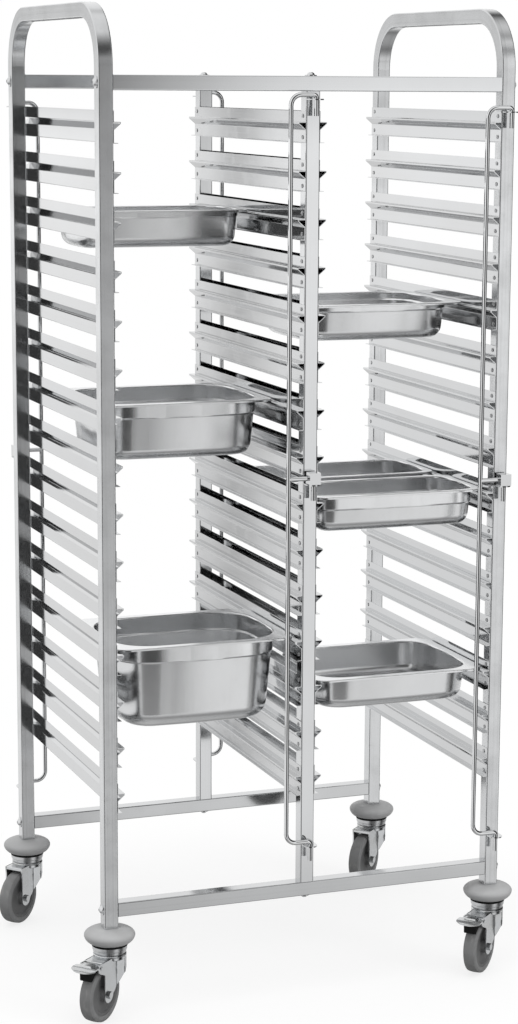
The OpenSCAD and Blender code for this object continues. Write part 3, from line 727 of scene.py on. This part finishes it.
fork = {
    "plate": 19.0,
    "sheet": 2.5,
    "crown": (105.0, 111.4),
    "crownRadius": 28.8,
    "crownArc": 28.5,
    "crownHalf": 18.6,
    "crownCorner": 3.0,
    "crownBevel": 1.2,
    "crownPoints": 60,
    # True is for a braked caster, here and for the trailing edge
    "reach": {True: 52.0, False: 46.6},
    "race": ((7.0, 111.0, 0.2), (28.2, 111.0, 0.4), (28.8, 112.3, 0.5), (27.8, 113.5, 0.4), (7.0, 113.5, 0.2)),
    "foldAt": 8.5,
    "flare": 0.80,
    "tabHeight": 48.5,
    "tabRadius": 12.5,
    "tabTurn": 80,
    "tabRows": 9,
    "legRows": 34,
    "columns": 72,
    "crowding": 1.25,
    "average": (-2, -1, 0, 1, 2),
    "trailing": {
        True: ((48, 46.0), (87, 45.0), (90, 47), (92, 53), (95, 61), (99, 65.5), (104, 66.5), (111.4, 64)),
        False: ((48, 46.0), (98, 45.5), (104, 46.5), (111.4, 47.5)),
    },
    "leading": ((40, 25.0), (48.5, 21.0), (53, 14.5), (65, 5.0), (80, -2.5), (88, -12.0), (94, -24.0),
                (98, -28.6), (111.4, -28.6)),
}


def forkLeg(f, side, braked):
    # Down the leg, the two edges follow their lists of height and x, averaged over four millimetres, until they
    # meet the tab's circle. Across it, y is the plate's, and past the fold it flares out to the crown's circle.
    tab = np.linspace(0, math.radians(f["tabTurn"]), f["tabRows"])
    leg = np.linspace(f["crown"][1], f["tabHeight"], f["legRows"])[:-1]
    height = np.concatenate([leg, f["tabHeight"] - f["tabRadius"] * np.sin(tab)])
    follow = lambda stops: np.mean([np.interp(height + d, *np.array(stops).T) for d in f["average"]], axis=0)
    chord = f["tabRadius"] * np.cos(np.arcsin(np.clip((f["tabHeight"] - height) / f["tabRadius"], 0, 1)))
    onTab = height < f["tabHeight"]
    trailing = np.where(onTab, caster["trail"] + chord, follow(f["trailing"][braked]))
    leading = np.where(onTab, caster["trail"] - chord, follow(f["leading"]))
    across = 1 - (1 - np.linspace(0, 1, f["columns"])) ** f["crowding"]
    x = trailing[:, None] + (leading - trailing)[:, None] * across
    flared = f["plate"] + np.clip(f["foldAt"] - x, 0, None) * f["flare"]
    y = np.minimum(flared, np.sqrt(f["crownRadius"] ** 2 - np.minimum(x, f["foldAt"]) ** 2))
    outer = np.stack([x, y, np.broadcast_to(height[:, None], x.shape)], -1)
    points, faces = sheet(outer, f["sheet"])
    return points * (1, side, 1), faces


def makeFork(corner, f):
    # The crown is a plate between the legs, an arc at the front and two rounded corners behind, which are the
    # second and third of the four that are rounded, five points each. The lower race is a ring on it.
    braked = corner in caster["braked"]
    reach, half = f["reach"][braked], f["crownHalf"]
    opening = math.asin(half / f["crownRadius"])
    angle = np.linspace(opening, 2 * np.pi - opening, f["crownPoints"])
    arc = np.column_stack([np.cos(angle), np.sin(angle)]) * f["crownArc"]
    end = roundCorners([(0, -half), (reach, -half), (reach, half), (0, half)], f["crownCorner"])
    crown = drawnOut(np.concatenate([arc, end[5:15]]), *f["crown"], f["crownBevel"])
    ring = turned(roundRows(f["race"]), (0, 0, 0), (0, 0, 1))
    parts = [atCaster(corner, part) for part in (forkLeg(f, 1, braked), forkLeg(f, -1, braked), crown, ring)]
    item = newPiece(corner + "_pressed_fork", *parts)
    dress(item, corner + "_caster", "zinc", "zinc", corner + "_fork")


pedal = {
    "hinge": (58.0, 105.0),
    "neck": 15.8,
    "half": 23.0,
    "widen": (67.0, 73.0),
    "nose": 36.8,
    "noseGap": 0.25,
    "reach": 95.0,
    "top": 110.5,
    "sheet": 2.5,
    "droop": 3.6,
    "pad": (62.0, 79.0, 11.5),
    "padSlope": 1.8,
    "padRise": 2.6,
    "rows": 60,
    "columns": 41,
    "barrel": ((2.0, 15.8, 0.2), (5.4, 15.8, 1.0)),
    "pin": ((0.01, 20.6, 0.0), (2.52, 20.6, 0.8), (3.6, 19.0, 0.2), (2.0, 19.0, 0.1)),
    "shoe": ((62.6, 108.0), (62.6, 95.2), (68.5, 90.4), (77.5, 83.6), (78.5, 104.0), (75.0, 107.0)),
    "shoeHalf": 11.6,
    "shoeCorner": 1.2,
    "shoeBevel": 1.0,
}


def makePedal(corner, p):
    # The tread is a sheet over x and y: it droops towards the nose and is pressed up to a pad in the middle. A
    # barrel and a pin with two heads are turned about the hinge.
    smooth = lambda v: np.clip(v, 0, 1) ** 2 * (3 - 2 * np.clip(v, 0, 1))
    x = np.linspace(p["hinge"][0], p["reach"] - p["noseGap"], p["rows"])
    start, end = p["widen"]
    middle = p["reach"] - p["nose"]
    half = p["neck"] + (p["half"] - p["neck"]) * smooth((x - start) / (end - start))
    half = np.minimum(half, np.sqrt(p["nose"] ** 2 - np.clip(x - middle, 0, None) ** 2))
    y = half[:, None] * np.linspace(-1, 1, p["columns"])
    low, high, wide = p["pad"]
    slope = p["padSlope"]
    x = np.broadcast_to(x[:, None], y.shape)
    rise = smooth((x - low) / slope) * smooth((high - x) / slope) * smooth((wide - np.abs(y)) / slope)
    z = p["top"] - p["droop"] * smooth((x - high) / (p["reach"] - high)) + p["padRise"] * rise
    tread = sheet(np.stack([x, y, z], -1), p["sheet"])
    hinge, axis = (p["hinge"][0], 0, p["hinge"][1]), (0, 1, 0)
    barrel = turnedBoth(p["barrel"], hinge, axis, count=48)
    pin = turnedBoth(p["pin"], hinge, axis, count=32, steps=3)
    parts = [atCaster(corner, part) for part in (tread, barrel, pin)]
    item = newPiece(corner + "_pressed_pedal", *parts)
    dress(item, corner + "_brake", "zinc", "zinc", corner + "_pedal")
    outline = roundCorners(p["shoe"], p["shoeCorner"])
    shoe = drawnOut(outline, -p["shoeHalf"], p["shoeHalf"], p["shoeBevel"], order=(0, 2, 1))
    item = newPiece(corner + "_moulded_shoe", atCaster(corner, shoe))
    dress(item, corner + "_brake", "black_rubber", "black", corner + "_shoe")


bumper = {
    "bore": 6.1,
    "top": 157.9,
    "bottom": 132.0,
    "rimHeight": 145.2,
    "radius": 44.0,
    "topFlat": 16.0,
    "bottomFlat": 31.5,
    "upperRoundness": 0.97,
    "lowerRoundness": 1.18,
    "points": 15,
}


def makeBumpers(b):
    # A lens: from its flat top to its rim and from there to its flat bottom it follows two quarter ellipses,
    # whose cosine and sine are raised to the roundness
    quarter = np.linspace(0, np.pi / 2, b["points"])
    rise, drop = b["top"] - b["rimHeight"], b["rimHeight"] - b["bottom"]
    above, below = b["upperRoundness"], b["lowerRoundness"]
    upper = np.column_stack([
        b["topFlat"] + (b["radius"] - b["topFlat"]) * np.sin(quarter) ** above,
        b["rimHeight"] + rise * np.cos(quarter) ** above,
    ])
    lower = np.column_stack([
        b["bottomFlat"] + (b["radius"] - b["bottomFlat"]) * np.cos(quarter) ** below,
        b["rimHeight"] - drop * np.sin(quarter) ** below,
    ])
    section = np.concatenate([[(b["bore"], b["top"])], upper, lower[1:], [(b["bore"], b["bottom"])]])
    lens = turned(section, (0, 0, 0), (0, 0, 1))
    item = newPiece("bumper_lenses", *(atCaster(corner, lens) for corner in caster["corners"]))
    dress(item, "frame", "bumper", "bumper", "bumper_discs")


for corner in caster["corners"]:
    makeWheel(corner, wheel)
    makeFork(corner, fork)
for corner in caster["braked"]:
    makePedal(corner, pedal)
makeBumpers(bumper)
print("casters made")


# What stays as the frame gives it takes a finish of its own

finishOf = {
    "endFrame": ("left_end_frame", "right_end_frame"),
    "upright": ("front_centre_upright", "rear_centre_upright"),
    # The top rails take the finish painted lighter, and the bottom rails below it the one painted darker
    "rail": ("front_top_rail", "rear_top_rail"),
    "lowRail": ("front_bottom_rail", "rear_bottom_rail"),
    "cut": ("runner_rivets",),
    "bolt": ("frame_bolts", "frame_washers"),
    "lug": ("top_bar_lugs", "middle_bar_lugs", "bottom_bar_lugs"),
    "plug": ("tube_plugs", "leg_plugs"),
    "black": ("swivel_seals",),
    "race": ("caster_stems",),
}
finishByLastWord = {"bar": "rod", "block": "lug", "axle": "zinc"}
for name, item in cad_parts.items():
    finish = next((key for key, names in finishOf.items() if name in names), None)
    finish = finish or finishByLastWord.get(name.rsplit("_", 1)[-1])
    if finish:
        item.data.materials.clear()
        item.data.materials.append(materials[finish])
print("frame dressed")


# Floor, studio and lamps, in metres and degrees

studio = {
    "floorSize": 60.0,
    "floorShade": 0.22,
    "floorSeen": 0.96,
    "floorUnseen": 0.40,
    "shadowReach": (0.45, 0.85),
    "room": (
        (-90, 0.55), (-64, 0.42), (-50, 0.22), (-38, 0.50), (-28, 0.86), (-23, 0.86), (-20.6, 0.66), (-18.8, 0.68),
        (-16.8, 0.92), (-9, 0.93), (-1.4, 1.14), (1.0, 0.70), (3.5, 0.74), (7, 1.0), (18, 1.06), (40, 1.0),
        (85, 0.92),
    ),
    "roomMost": 2.0,
    "flagLeft": (-44.0, -36.0),
    "flagRight": 16.4,
    "flagBulges": ((-8, 3, 0, 2.2), (12, 36, 0, 14), (-18, -6, -2.5, 0)),
    "flagSoft": 4.5,
    "flagFoot": (-31.0, -25.0),
    "flagEnd": (30.0, 70.0),
    "flagLevel": 0.06,
    "sideFrom": (37.0, 54.0),
    "sideTo": (80.0, 172.0, 148.0),
    "sideWiden": (-18.0, -11.0),
    "sideNarrow": (-4.0, 2.0),
    "sideSoft": 8.0,
    "sideFoot": (-42.0, -32.0),
    "sideEnd": (45.0, 70.0),
    "sideLevel": 0.02,
    "standAzimuth": -160.3,
    "standHalf": (0.15, 0.6),
    "standEnd": (25.0, 30.0),
    "standLevel": 0.35,
    "diffuse": (-10, 60, 0.55, 0.95),
}
lamps = {
    "overhead": {"place": (-0.6, -1.2, 4.2), "target": (0, 0, 0.8), "size": (3.0, 3.0), "energy": 48},
    "keyStrip": {"place": (3.4, -4.6, 2.2), "target": (0, 0, 0.9), "size": (1.2, 2.6), "energy": 60},
}


def makeFloor(s):
    # The camera sees the shadow near the object and plain white away from it, and other rays a dim floor
    mesh = bpy.data.meshes.new("floor")
    half = s["floorSize"] / 2
    mesh.from_pydata([(-half, -half, 0), (half, -half, 0), (half, half, 0), (-half, half, 0)], [], [(0, 1, 2, 3)])
    item = bpy.data.objects.new("floor", mesh)
    bpy.context.scene.collection.objects.link(item)
    material, start = newMaterial("paleFloor")
    x, y = start.make("ShaderNodeTexCoord", {}, {}, "Object").parts()[:2]
    distance = (x * x + y * y).math("SQRT")
    shadow = distance.step(*s["shadowReach"], 1 - s["floorShade"], 1.0)
    seen = start.make("ShaderNodeLightPath", {}, {}, "Is Camera Ray")
    lit = start.make("ShaderNodeBsdfDiffuse", {}, {"Color": grey(s["floorSeen"])})
    white = start.make("ShaderNodeEmission", {}, {"Color": grey(1.0), "Strength": 1.0})
    shown = start.make("ShaderNodeMixShader", {}, {0: shadow, 1: lit, 2: white})
    dim = start.make("ShaderNodeBsdfDiffuse", {}, {"Color": grey(s["floorUnseen"])})
    surface = start.make("ShaderNodeMixShader", {}, {0: seen, 1: dim, 2: shown})
    start.make("ShaderNodeOutputMaterial", {}, {"Surface": surface})
    mesh.materials.append(material)
    item.visible_glossy = False


def makeStudio(s):
    # Gloss sees a pale room with two dark flags and a thin stand. Azimuth is 0 to the front and grows towards +X,
    # and rise is the angle above the horizon, both in degrees. The room's stops are rise and level, and a bulge
    # moves the front flag's right edge from its third number to its fourth while rise passes the first two.
    world = bpy.data.worlds.new("studio")
    world.use_nodes = True
    world.node_tree.nodes.clear()
    world.cycles.sampling_method = "NONE"
    start = Wire(world.node_tree)
    x, y, z = start.make("ShaderNodeTexCoord", {}, {}, "Generated").parts()
    azimuth = x.math("ARCTAN2", 0.0 - y) * (180 / math.pi)
    rise = z.math("ARCSINE") * (180 / math.pi)
    most = s["roomMost"]
    stops = [((height + 90) / 180, level / most) for height, level in s["room"]]
    room = start.make("ShaderNodeValToRGB", {"stops": stops}, {"Fac": rise / 180 + 0.5}).parts()[0] * most
    rightEdge = sum((rise.step(*bulge) for bulge in s["flagBulges"]), s["flagRight"])
    flag = (azimuth - rightEdge).fall(-s["flagSoft"], s["flagSoft"]) * azimuth.step(*s["flagLeft"])
    flag = flag * rise.step(*s["flagFoot"]) * rise.fall(*s["flagEnd"])
    foot, middle, top = s["sideTo"]
    sideTo = rise.step(*s["sideWiden"], foot, middle) + rise.step(*s["sideNarrow"], 0.0, top - middle)
    side = azimuth.step(*s["sideFrom"]) * (azimuth - sideTo).fall(-s["sideSoft"], s["sideSoft"])
    side = side * rise.step(*s["sideFoot"]) * rise.fall(*s["sideEnd"])
    stand = (azimuth - s["standAzimuth"]).size().fall(*s["standHalf"]) * rise.fall(*s["standEnd"])
    for mask, level in ((flag, s["flagLevel"]), (side, s["sideLevel"]), (stand, s["standLevel"])):
        room = room * (1.0 - mask * (1 - level))
    rays = start.make("ShaderNodeLightPath", {}, {}, "Is Glossy Ray")
    seen = start.make("ShaderNodeLightPath", {}, {}, "Is Camera Ray")
    diffuse = rise.step(*s["diffuse"])
    level = rays * room + (1.0 - rays) * (seen + (1.0 - seen) * diffuse)
    shade = start.make("ShaderNodeCombineXYZ", {}, {0: level, 1: level, 2: level})
    background = start.make("ShaderNodeBackground", {}, {"Color": shade, "Strength": 1.0})
    start.make("ShaderNodeOutputWorld", {}, {"Surface": background})
    bpy.context.scene.world = world


def addLamp(name, lamp):
    data = bpy.data.lights.new(name, "AREA")
    data.shape = "RECTANGLE"
    data.size, data.size_y = lamp["size"]
    data.energy = lamp["energy"]
    item = bpy.data.objects.new(name, data)
    item.location = lamp["place"]
    towards = Vector(lamp["target"]) - Vector(lamp["place"])
    item.rotation_euler = towards.to_track_quat("-Z", "Y").to_euler()
    item.visible_glossy = False
    item.visible_camera = False
    bpy.context.scene.collection.objects.link(item)


makeFloor(studio)
makeStudio(studio)
for name, lamp in lamps.items():
    addLamp(name, lamp)
bpy.context.scene.view_settings.view_transform = "Standard"
print("studio lit")
